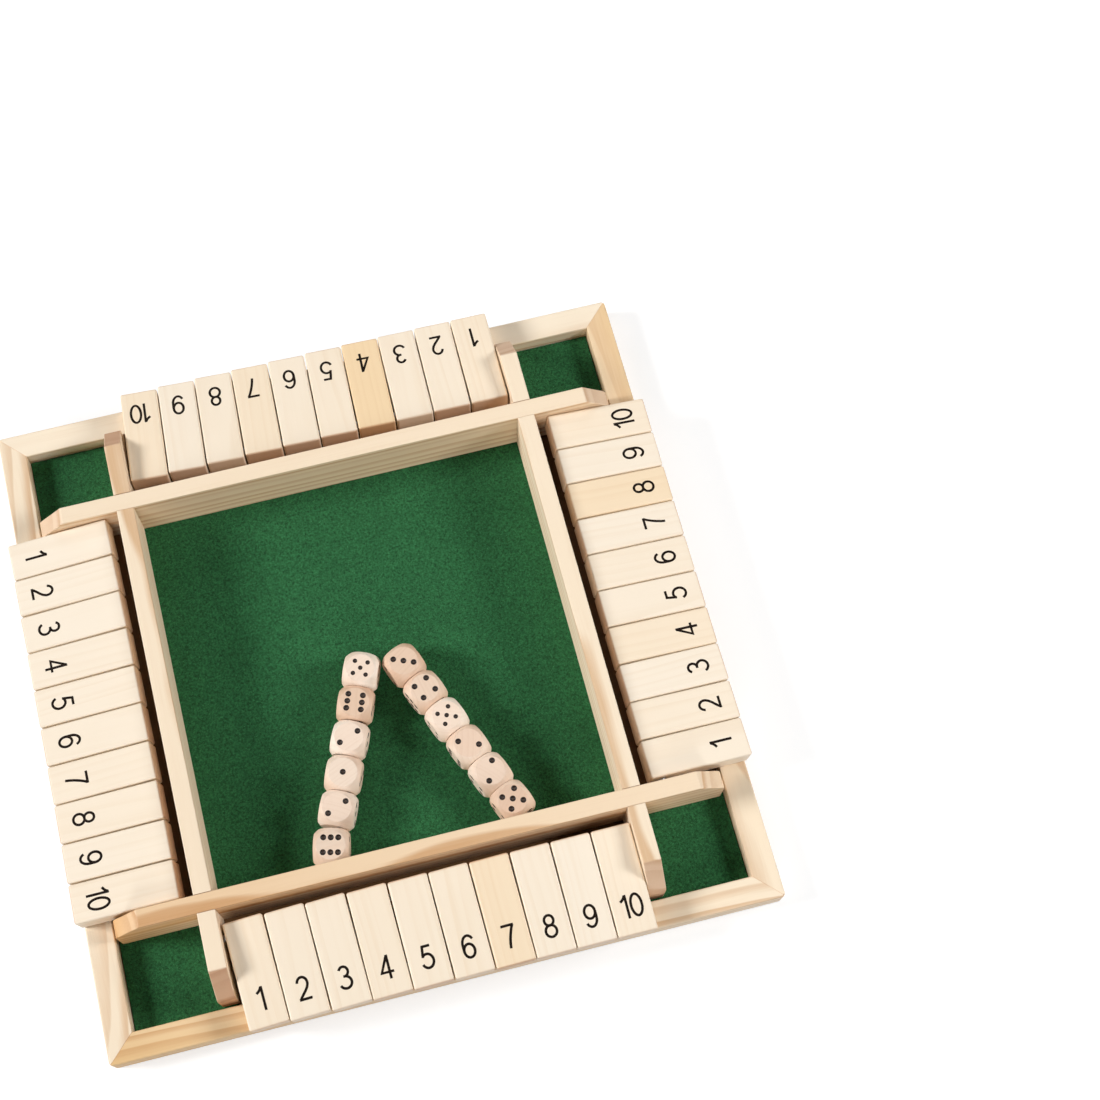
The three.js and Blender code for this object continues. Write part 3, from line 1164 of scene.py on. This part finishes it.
@dataclass
class Numerals:
    """Plain upright numerals, each drawn as one or two strokes of an even pen."""

    height: float = 9.3  # of the pen's path, so the ink is one pen width taller
    width: float = 5.0
    pen: float = 1.15
    film: float = 0.05  # thickness of the ink, most of it in the wood
    proud: float = 0.02
    layer_step: float = 0.006  # how much higher each further stroke of a figure lies
    spacing: float = 4.6  # from the 1 to the 0 of the number ten
    first_shift: float = 0.1  # how much further left that 1 stands
    mitre_limit: float = 0.62  # cosine of half the sharpest turn that gets its full mitre
    doubled: float = 0.02  # points of a stroke that lie closer than this are one
    strokes: dict[str, list[Stroke]] = field(
        default_factory=lambda: {
            "0": [[Arc((0.5, 0.5), (0.47, 0.5), (90, 450))]],
            "1": [
                [(0.6, 1.05), (0.6, -0.05)],
                [(0.12, 0.755), (0.3, 0.815), (0.46, 0.9), (0.58, 1.02)],
            ],
            "2": [
                [
                    Arc((0.47, 0.72), (0.44, 0.28), (172, -18)),
                    (0.79, 0.5),
                    (0.6, 0.36),
                    (0.36, 0.22),
                    (0.15, 0.09),
                    (0.07, 0.01),
                ],
                [(-0.06, 0.0), (1.04, 0.0)],
            ],
            "3": [
                [Arc((0.46, 0.775), (0.39, 0.225), (158, -82)), (0.36, 0.555)],
                [(0.4, 0.555), Arc((0.46, 0.28), (0.51, 0.275), (82, -160))],
            ],
            "4": [
                [(0.7, -0.05), (0.7, 1.05)],
                [(0.68, 1.0), (0.0, 0.27), (1.08, 0.27)],
            ],
            "5": [
                [(0.9, 1.0), (0.24, 1.0), (0.11, 0.5)],
                [Arc((0.46, 0.32), (0.51, 0.32), (134, -158))],
            ],
            "6": [
                [Arc((0.54, 0.6), (0.5, 0.4), (32, 180)), (0.04, 0.3)],
                [Arc((0.51, 0.31), (0.46, 0.31), (180, 540))],
            ],
            "7": [
                [(-0.06, 1.0), (1.06, 1.0)],
                [
                    (0.98, 1.0),
                    (0.82, 0.83),
                    (0.66, 0.61),
                    (0.53, 0.38),
                    (0.44, 0.17),
                    (0.38, -0.05),
                ],
            ],
            "8": [
                [Arc((0.5, 0.765), (0.4, 0.235), (-90, 270))],
                [Arc((0.5, 0.27), (0.48, 0.27), (90, 450))],
            ],
            "9": [
                [Arc((0.46, 0.4), (0.5, 0.4), (212, 360)), (0.96, 0.7)],
                [Arc((0.49, 0.69), (0.46, 0.31), (0, 360))],
            ],
        }
    )

    def draw(self, number: int) -> bmesh.types.BMesh:
        """Draws a number as a thin film of ink round the origin, with its foot at y = 0.

        Args:
            number: 1 to 10.

        Returns:
            The film, whose top lies just over z = 0.
        """
        film = bmesh.new()
        figures = str(number)
        for place, figure in enumerate(figures):
            shift = (place - (len(figures) - 1) / 2) * self.spacing
            if len(figures) > 1 and place == 0:
                shift -= self.first_shift
            for layer, stroke in enumerate(self.strokes[figure]):
                self._sweep(film, stroke, shift, self.proud + self.layer_step * layer)
        bmesh.ops.recalc_face_normals(film, faces=film.faces)
        return film

    def _path(self, stroke: Stroke, shift: float) -> list[Vector]:
        """The points of a stroke in millimetres, with doubled points left out."""
        path: list[Vector] = []
        for part in stroke:
            for x, y in part.points() if isinstance(part, Arc) else [part]:
                across = (x - 0.5) * self.width + shift
                point = Vector((across, y * self.height + self.pen / 2))
                if not path or (point - path[-1]).length > self.doubled:
                    path.append(point)
        return path

    def _sweep(
        self, film: bmesh.types.BMesh, stroke: Stroke, shift: float, lift: float
    ) -> None:
        """Draws the pen along one stroke and gives the ink its thickness.

        Args:
            film: the mesh that the stroke is added to.
            stroke: the pen's path.
            shift: how far the figure stands to the right, in millimetres.
            lift: how high the ink stands over the wood, in millimetres.
        """
        path = self._path(stroke, shift)
        closed = (path[0] - path[-1]).length < TOUCH
        if closed:
            path.pop()
        rungs: list[list[bmesh.types.BMVert]] = []
        for i, point in enumerate(path):
            ways: list[Vector] = []
            if closed or i > 0:
                ways.append((point - path[i - 1]).normalized())
            if closed or i < len(path) - 1:
                ways.append((path[(i + 1) % len(path)] - point).normalized())
            along = sum(ways, Vector((0, 0))).normalized()
            aside = Vector((-along.y, along.x))
            # At a corner the pen's mark is as much wider as its mitre needs, but never a spike
            reach = self.pen / 2 / max(self.mitre_limit, along.dot(ways[0]))
            edges = [(point + hand * reach * aside) * MM for hand in (1, -1)]
            rungs.append([film.verts.new((*edge, lift * MM)) for edge in edges])
        ahead = rungs[1:] + rungs[:1] if closed else rungs[1:]
        faces = [
            film.faces.new((near[0], near[1], far[1], far[0])) for near, far in zip(rungs, ahead)
        ]
        bmesh.ops.solidify(film, geom=faces, thickness=self.film * MM)


@dataclass
class TileRow(Assembly):
    """Ten numbered basswood tiles on a steel rod along one side of the tray.

    Attributes:
        side: where the row lies.
        rod_reach: how far its rod lies from the middle of the tray, in millimetres.
        inner_shares: how much of the row's free play lies before the first and the last tile,
            at the tiles' inner ends.
        outer_shares: the same at their outer ends.
        tones: how dark the wood of each tile is, from 0 to 1.
        stray_shares: by how much more of the free play each tile leaves its even place.
        end_shades: from how much to how much darker a tile's end grain may be.
        bore_past: how far the borer reaches past each side of a tile.
        foot: from a tile's outer end to the foot of its number.
        seed: starts the chance that picks each tile's board.
    """

    side: Side
    rod_reach: float
    inner_shares: tuple[float, float]
    outer_shares: tuple[float, float]
    tones: tuple[float, ...]
    stray_shares: tuple[float, ...] = (0, 0.01, -0.01, 0.006, 0.012, -0.006, -0.012, 0, 0.004, 0)
    end_shades: tuple[float, float] = (0.25, 0.8)
    ease: float = 1.0
    rod_ease: float = 0.3
    bore_past: float = 2
    foot: float = 6.9
    seed: int = 40
    numerals: Numerals = field(default_factory=Numerals)

    def build(self) -> list[bpy.types.Object]:
        """Builds the rod, the tiles and their numbers in their places."""
        chance = random.Random(self.seed + self.side.value)
        pieces = [self._rod()]
        for i in range(TILES_PER_ROW):
            place = self._place(i)
            pieces.append(self._tile(i, place, chance))
            pieces.append(self._number(i, place))
        return pieces

    def _rest_angle(self) -> float:
        """How far a tile slopes down to the outside, leaning on the frame's top edge."""
        s = self.sizes
        reach = s.frame_side / 2 - s.frame_ease - self.rod_reach
        drop = s.rod_height - s.frame_height - s.seat_gap
        lean = math.asin(s.tile_thickness / 2 / math.hypot(drop, reach))
        return math.atan2(drop, reach) - lean

    def _place(self, i: int) -> Matrix:
        """Where a tile lies: its origin on the rod, its outer end towards -Y before the turn.

        Args:
            i: the tile's place in the row, from 0.

        Returns:
            The tile's matrix in the frame.
        """
        s = self.sizes
        along = i / (TILES_PER_ROW - 1)
        stray = self.stray_shares[i]
        inner = self.inner_shares[0] * (1 - along) + self.inner_shares[1] * along + stray
        outer = self.outer_shares[0] * (1 - along) + self.outer_shares[1] * along - stray
        turn = math.asin((outer - inner) * s.row_play / s.tile_length)
        at_rod = inner + (outer - inner) * s.rod_inset / s.tile_length
        packed = (i + 0.5) * s.tile_width - s.lattice_inner
        spot = Vector((packed + at_rod * s.row_play, -self.rod_reach, s.rod_height)) * MM
        askew = Matrix.Rotation(turn, 4, "Z") @ Matrix.Rotation(self._rest_angle(), 4, "X")
        return self.side.turn @ Matrix.Translation(spot) @ askew

    def _rod(self) -> bpy.types.Object:
        """Builds the steel rod with its ends eased."""
        s = self.sizes
        rod = self.workshop.bar(s.rod_diameter / 2, s.tray_side + 2 * s.rod_bite, sides=32)
        self.workshop.ease(rod, self.rod_ease, segments=2, which=self.workshop.is_crease)
        Grain(pith=(0, 0), end_shade=0).write(rod)
        place = Vector((0, -self.rod_reach, s.rod_height)) * MM
        return self.workshop.finish(
            rod,
            f"steel_rod_{self.side.label}",
            self.side.turn @ Matrix.Translation(place),
            [self.finishes.steel],
            "steel",
            stands_for=[f"rod_{self.side.label}"],
        )

    def _tile(self, i: int, place: Matrix, chance: random.Random) -> bpy.types.Object:
        """Builds one tile with its bore along the rod.

        Args:
            i: the tile's place in the row, from 0.
            place: the tile's matrix in the frame.
            chance: the seeded source of numbers.

        Returns:
            The finished tile.
        """
        s = self.sizes
        half, thick = s.tile_width / 2, s.tile_thickness / 2
        tile = self.workshop.block(
            (-half, s.rod_inset - s.tile_length, -thick), (half, s.rod_inset, thick)
        )
        self.workshop.ease(tile, self.ease, segments=4)
        bore = self.workshop.bar(
            s.rod_diameter / 2 + s.bore_gap, s.tile_width + 2 * self.bore_past, sides=32
        )
        row = self.side.turn.to_3x3().to_4x4()
        bore.transform(place.to_3x3().to_4x4().inverted() @ row)
        tile = self.workshop.carve(tile, bore)
        grain = Grain.any_board(chance, self.tones[i], chance.uniform(*self.end_shades))
        grain.write(tile, Vector((0, 1, 0)))
        return self.workshop.finish(
            tile,
            f"number_tile_{self.side.label}_{i + 1}",
            place,
            [self.finishes.basswood],
            "basswood",
            body=f"flip_{self.side.label}_{i + 1}",
            stands_for=[f"tile_{self.side.label}_{i + 1}"],
        )

    def _number(self, i: int, place: Matrix) -> bpy.types.Object:
        """Prints a tile's number near its outer end, to be read from outside.

        Args:
            i: the tile's place in the row, from 0.
            place: the tile's matrix in the frame.

        Returns:
            The number's film of ink.
        """
        s = self.sizes
        film = self.numerals.draw(i + 1)
        outer_end = s.rod_inset - s.tile_length
        spot = Vector((0, outer_end + self.foot, s.tile_thickness / 2)) * MM
        return self.workshop.finish(
            film,
            f"number_{self.side.label}_{i + 1}",
            place @ Matrix.Translation(spot),
            [self.finishes.print_ink],
            "basswood",
            body=f"flip_{self.side.label}_{i + 1}",
            soft_angle=20,
        )


@dataclass(frozen=True)
class PipStyle:
    """How a die's pips are drilled, in millimetres."""

    diameter: float = 2.7
    depth: float = 0.7
    spread: float = 3.3
    worn: float = 0.45  # radius of the middle, which is painted paler


SMALL_PIPS = PipStyle(diameter=2.1, depth=0.6, spread=2.9, worn=0.32)


@dataclass
class DiceLeg(Assembly):
    """Six dice in a line that leans from the middle of the tray to its front wall.

    Attributes:
        hand: -1 for the left leg, 1 for the right one.
        first_number: the number of the die at the back.
        lean_deg: how far the leg leans out, in degrees.
        tops: the number on top of each die, from the back to the front.
        quarters: by how many quarter turns each die is turned to show its side faces.
        turns_deg: how far each die is turned out of line, in degrees.
        tones: how dark the wood of each die is.
        small_pips: the numbers of the dice whose pips are drilled smaller.
        rim: how far the soft rim round a face reaches.
        ball_turn: how the ball is turned before it is flattened, which keeps its poles away
            from the middle of each face.
        merged: corners of the blank that lie closer than this are one.
        flat_corners: a face of the blank with more corners than this is flat.
        end_shade: how much darker the wood is where it is cut across the grain.
        seed: starts the chance that picks each die's board.
    """

    hand: int
    first_number: int
    lean_deg: float
    tops: tuple[int, ...]
    quarters: tuple[int, ...]
    turns_deg: tuple[float, ...]
    tones: tuple[float, ...]
    small_pips: tuple[int, ...] = (1, 9)
    rim: float = 0.9
    ball_turn: Triple = (0.35, 0.6, 0.2)
    merged: float = 0.05
    flat_corners: int = 12
    end_shade: float = 0.35
    seed: int = 90
    pip_places: dict[int, list[tuple[int, int]]] = field(
        default_factory=lambda: {
            1: [(0, 0)],
            2: [(-1, -1), (1, 1)],
            3: [(-1, -1), (0, 0), (1, 1)],
            4: [(-1, -1), (1, 1), (-1, 1), (1, -1)],
            5: [(-1, -1), (1, 1), (-1, 1), (1, -1), (0, 0)],
            6: [(-1, -1), (-1, 0), (-1, 1), (1, -1), (1, 0), (1, 1)],
        }
    )

    def build(self) -> list[bpy.types.Object]:
        """Builds the six dice in their places."""
        return [self._die(i, place) for i, place in enumerate(self._places())]

    @staticmethod
    def _face_turn(number: int) -> Matrix:
        """The turn that brings the face of a number to the top."""
        quarter = math.pi / 2
        angle, axis = {
            1: (0, "X"),
            2: (quarter, "X"),
            3: (-quarter, "Y"),
            4: (quarter, "Y"),
            5: (-quarter, "X"),
            6: (2 * quarter, "X"),
        }[number]
        return Matrix.Rotation(angle, 4, axis)

    def _reach(self, angle: float) -> float:
        """How far a die reaches from its middle, level with the floor, at an angle to a face."""
        s = self.sizes
        half, ball = s.die_side / 2, s.die_ball_diameter / 2
        flat = math.sqrt(ball**2 - half**2)
        return half * math.cos(angle) + flat * math.sin(abs(angle))

    def _places(self) -> list[Matrix]:
        """Where each die lies, from the back of the leg to the front."""
        s = self.sizes
        lean = math.radians(self.lean_deg)
        turns = [math.radians(turn) for turn in self.turns_deg]
        distances = [0.0]
        for before, after in zip(turns, turns[1:]):
            step = self._reach(before) + self._reach(after) + s.die_gap
            distances.append(distances[-1] + step)
        foot = self._reach(self.hand * lean + turns[-1]) + s.die_wall_gap - s.lattice_inner
        start_x = s.legs_middle + self.hand * (self._reach(lean) + s.die_gap / 2)
        start_y = foot + distances[-1] * math.cos(lean)
        height = s.felt_top + s.die_floor_gap + s.die_side / 2
        places = []
        for i, distance in enumerate(distances):
            x = start_x + self.hand * distance * math.sin(lean)
            y = start_y - distance * math.cos(lean)
            spin = self.hand * lean + turns[i] + self.quarters[i] * math.pi / 2
            turn = Matrix.Rotation(spin, 4, "Z") @ self._face_turn(self.tops[i])
            places.append(Matrix.Translation(Vector((x, y, height)) * MM) @ turn)
        return places

    def _blank(self) -> bmesh.types.BMesh:
        """Turns a ball and flattens it on six sides, with soft rims between them."""
        s = self.sizes
        blank = bmesh.new()
        bmesh.ops.create_uvsphere(
            blank, u_segments=64, v_segments=40, radius=s.die_ball_diameter / 2 * MM
        )
        blank.transform(Euler(self.ball_turn).to_matrix().to_4x4())
        for axis in range(3):
            for way in (1, -1):
                out = Vector([way if i == axis else 0 for i in range(3)])
                self.workshop.slice_off(blank, out * s.die_side / 2 * MM, out, TOUCH)
        bmesh.ops.remove_doubles(blank, verts=blank.verts, dist=self.merged * MM)
        blank.normal_update()
        self.workshop.ease(blank, self.rim, segments=3, which=self._is_rim)
        return blank

    def _is_rim(self, edge: bmesh.types.BMEdge) -> bool:
        """Whether an edge of the blank parts a flat face from the ball."""
        return sum(len(face.verts) > self.flat_corners for face in edge.link_faces) == 1

    def _die(self, i: int, place: Matrix) -> bpy.types.Object:
        """Builds one die with its pips drilled and painted.

        Args:
            i: the die's place in the leg, from 0.
            place: the die's matrix in the frame.

        Returns:
            The finished die.
        """
        number = self.first_number + i
        style = SMALL_PIPS if number in self.small_pips else PipStyle()
        die = self.workshop.carve(self._blank(), self._drill(style))
        chance = random.Random(self.seed + number)
        grain = Grain.any_board(chance, self.tones[i], self.end_shade)
        # About half of the dice are sawn aslant
        grain.write(die, Vector((chance.choice((0.0, 1.0)), 1.0, 0.2)).normalized())
        dress = {
            DieFinish.WOOD: self.finishes.beech,
            DieFinish.PAINT: self.finishes.pip_paint,
            DieFinish.THIN_PAINT: self.finishes.thin_paint,
        }
        return self.workshop.finish(
            die,
            f"wooden_die_{number}",
            place,
            [dress[finish] for finish in DieFinish],
            "beech",
            body=f"loose_die_{number}",
            stands_for=[f"die_{number}"],
            soft_angle=35,
        )

    def _drill(self, style: PipStyle) -> bmesh.types.BMesh:
        """Makes the cutter for every pip of a die: a shallow bowl with a round bottom.

        Args:
            style: the pips' sizes.

        Returns:
            All the bowls, whose faces leave paint where they cut.
        """
        s = self.sizes
        radius = style.diameter / 2
        ball = (radius**2 + style.depth**2) / (2 * style.depth)
        drill = bmesh.new()
        lift = Matrix.Translation((0, 0, (ball - style.depth) * MM))
        for number, spots in self.pip_places.items():
            to_face = self._face_turn(number).inverted()
            for x, y in spots:
                centre = Vector((x * style.spread, y * style.spread, s.die_side / 2)) * MM
                bowl = bmesh.ops.create_uvsphere(
                    drill, u_segments=20, v_segments=18, radius=ball * MM
                )["verts"]
                # The bottom middle of each bowl takes a paler paint than the rest
                for face in {face for vert in bowl for face in vert.link_faces}:
                    off_axis = face.calc_center_median().xy.length
                    thin = face.normal.z < 0 and off_axis < style.worn * MM
                    face.material_index = DieFinish.THIN_PAINT if thin else DieFinish.PAINT
                placed = to_face @ Matrix.Translation(centre) @ lift
                bmesh.ops.transform(drill, matrix=placed, verts=bowl)
        return drill


@dataclass
class Studio:
    """A plain pale floor, soft lamps and the camera."""

    finishes: Finishes
    eye: Triple = (-8.652, -252.099, 807.959)
    yaw_deg: float = 11.386
    pitch_deg: float = 70.872
    roll_deg: float = -2.640
    lens: float = 59.732
    shift: tuple[float, float] = (0.0805, 0.0427)
    # Where each lamp hangs, its side in millimetres and its power in watts
    lamps: dict[str, tuple[Triple, float, float]] = field(
        default_factory=lambda: {
            "lamp_left": ((-2176, 423, 1358), 650, 61.0),
            "lamp_right": ((1153, -224, 762), 400, 12.2),
            "lamp_front": ((-446, -2294, 1140), 700, 19.0),
            "lamp_back": ((203, 1045, 746), 400, 2.4),
        }
    )
    lit_point: Triple = (0, 0, 10)  # every lamp faces it
    sky: float = 0.04
    floor_side: float = 12000
    floor_drop: float = 0.05  # how far the paper lies under the tray, so that they don't touch

    def build(self) -> None:
        """Builds the floor, the lamps, the sky and the camera."""
        self._floor()
        for name, (spot, size, power) in self.lamps.items():
            self._lamp(name, Vector(spot) * MM, size * MM, power)
        self._sky()
        self._camera()
        bpy.context.scene.view_settings.view_transform = "Standard"

    def _floor(self) -> None:
        """Lays a wide sheet of white paper under the tray."""
        sheet = bmesh.new()
        reach = self.floor_side / 2 * MM
        under = Matrix.Translation((0, 0, -self.floor_drop * MM))
        bmesh.ops.create_grid(sheet, x_segments=1, y_segments=1, size=reach, matrix=under)
        to_object(sheet, "studio_floor", [self.finishes.paper])

    def _lamp(self, name: str, spot: Vector, size: float, power: float) -> None:
        """Hangs one soft lamp that faces the tray.

        Args:
            name: the lamp's name.
            spot: where it hangs, in metres.
            size: its side, in metres.
            power: its power in watts.
        """
        light = bpy.data.lights.new(name, "AREA")
        light.shape = "SQUARE"
        light.size = size
        light.energy = power
        lamp = bpy.data.objects.new(name, light)
        lamp.location = spot
        way = Vector(self.lit_point) * MM - spot
        lamp.rotation_euler = way.to_track_quat("-Z", "Y").to_euler()
        bpy.context.scene.collection.objects.link(lamp)

    def _sky(self) -> None:
        """Fills the room with even pale light, white where it is seen directly."""
        world = bpy.data.worlds.new("studio_sky")
        world.use_nodes = True
        tree = world.node_tree
        tree.nodes.clear()
        seen = add_node(tree, "LightPath").outputs["Is Camera Ray"]
        strength = add_node(
            tree, "MapRange", {"Value": seen, "To Min": self.sky, "To Max": 1.0}
        )
        glow = add_node(tree, "Background", {"Color": linear(WHITE), "Strength": strength})
        add_node(tree, "OutputWorld", {"Surface": glow})
        bpy.context.scene.world = world

    def _camera(self) -> None:
        """Sets up the camera at the photograph's viewpoint."""
        data = bpy.data.cameras.new("camera")
        data.sensor_width = 36
        data.lens = self.lens
        data.shift_x, data.shift_y = self.shift
        data.clip_start, data.clip_end = 0.01, 50
        yaw, pitch, roll = map(math.radians, (self.yaw_deg, self.pitch_deg, self.roll_deg))
        ahead = Vector(
            (math.sin(yaw) * math.cos(pitch), math.cos(yaw) * math.cos(pitch), -math.sin(pitch))
        )
        right = Vector((math.cos(yaw), -math.sin(yaw), 0))
        above = right.cross(ahead)
        rolled_right = right * math.cos(roll) + above * math.sin(roll)
        rolled_above = above * math.cos(roll) - right * math.sin(roll)
        turn = Matrix((rolled_right, rolled_above, -ahead)).transposed().to_4x4()
        camera = bpy.data.objects.new("camera", data)
        camera.matrix_world = Matrix.Translation(Vector(self.eye) * MM) @ turn
        bpy.context.scene.collection.objects.link(camera)
        bpy.context.scene.camera = camera


def dress_board(frame: dict[str, Any], finishes: Finishes) -> None:
    """Gives the base board's CAD node its plywood.

    Args:
        frame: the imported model.
        finishes: the game's finishes.
    """
    board = frame["nodes"]["base_board"]
    for place in board.material_slots:
        place.material = finishes.plywood
    LOG.info("dressed base_board")


def main() -> None:
    """Builds the game over its frame, piece by piece."""
    logging.basicConfig(level=logging.INFO, format="%(name)s: %(message)s")
    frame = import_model()
    finishes = Finishes()
    shared = (TraySizes(), Workshop(), finishes)
    Studio(finishes).build()
    dress_board(frame, finishes)
    OuterFrame(*shared).build()
    lattice = InnerLattice(*shared)
    lattice.build()
    FeltFloor(*shared).build()
    # How much of each row's free play lies before its first and its last tile, at their inner
    # ends and then at their outer ends
    shares = {
        Side.FRONT: ((0.13, 0.95), (0.38, 0.96)),
        Side.RIGHT: ((0.3, 0.96), (0.39, 0.9)),
        Side.BACK: ((0.1, 0.94), (0.04, 0.6)),
        Side.LEFT: ((0.03, 0.85), (0.14, 0.8)),
    }
    tones = {
        Side.FRONT: (0.2, 0.1, 0.1, 0.15, 0.1, 0.12, 0.45, 0.05, 0.0, 0.15),
        Side.RIGHT: (0.05, 0.1, 0.0, 0.25, 0.05, 0.1, 0.0, 0.5, 0.0, 0.15),
        Side.BACK: (0.2, 0.1, 0.1, 0.8, 0.15, 0.1, 0.3, 0.1, 0.05, 0.3),
        Side.LEFT: (0.0, 0.0, 0.0, 0.05, 0.05, 0.05, 0.1, 0.1, 0.05, 0.1),
    }
    for side in Side:
        TileRow(*shared, side, lattice.rod_reach(side), *shares[side], tones[side]).build()
    DiceLeg(
        *shared,
        hand=-1,
        first_number=1,
        lean_deg=22,
        tops=(5, 6, 2, 1, 2, 6),
        quarters=(0, 0, 0, 0, 0, 1),
        turns_deg=(0, 1, -3, 0, -1.5, 8),
        tones=(0.0, 1.0, 0.0, 0.4, 0.1, 0.48),
    ).build()
    DiceLeg(
        *shared,
        hand=1,
        first_number=7,
        lean_deg=23.6,
        tops=(3, 4, 5, 2, 2, 5),
        quarters=(1, 0, 0, 1, 0, 0),
        turns_deg=(-0.5, 1, -1, -0.5, -0.3, 0),
        # The last die's 0.66 is partly painted shade: it was set from how dark that die looks, its
        # shade included
        tones=(0.95, 0.75, 0.0, 0.45, 0.25, 0.66),
    ).build()


if __name__ == "__main__":
    main()
